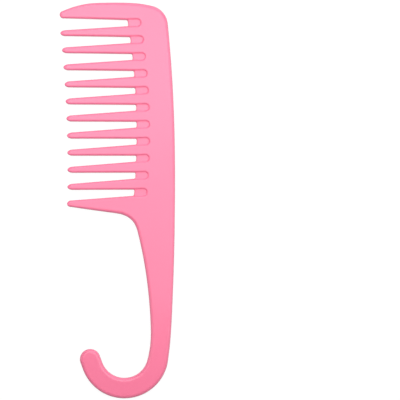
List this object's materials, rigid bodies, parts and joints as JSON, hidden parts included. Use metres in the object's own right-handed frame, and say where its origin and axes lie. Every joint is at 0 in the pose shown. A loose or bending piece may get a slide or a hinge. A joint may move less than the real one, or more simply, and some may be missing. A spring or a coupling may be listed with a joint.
{
  "type": "wide tooth comb",
  "caption": "Flat one-piece comb with wide-set tapered teeth, recessed webs at their roots, a slim handle and a hook to hang it by.",
  "frame": {"origin": "on the back face, at the middle of the comb's outline", "axes": "+Y along the comb from the hook to the top edge, +X from the teeth to the back, +Z out of the front face"},
  "size_m": [0.0672, 0.24, 0.0054],
  "materials": {
    "pink_plastic": "satin moulded plastic, faint sheen"
  },
  "bodies": {
    "root": {"spine": "pink_plastic", "handle": "pink_plastic", "hook": "pink_plastic", "tooth_01": "pink_plastic", "tooth_02": "pink_plastic", "tooth_03": "pink_plastic", "tooth_04": "pink_plastic", "tooth_05": "pink_plastic", "tooth_06": "pink_plastic", "tooth_07": "pink_plastic", "tooth_08": "pink_plastic", "tooth_09": "pink_plastic", "tooth_10": "pink_plastic", "tooth_11": "pink_plastic", "tooth_12": "pink_plastic", "web_01": "pink_plastic", "web_02": "pink_plastic", "web_03": "pink_plastic", "web_04": "pink_plastic", "web_05": "pink_plastic", "web_06": "pink_plastic", "web_07": "pink_plastic", "web_08": "pink_plastic", "web_09": "pink_plastic", "web_10": "pink_plastic", "web_11": "pink_plastic"}
  },
  "joints": []
}
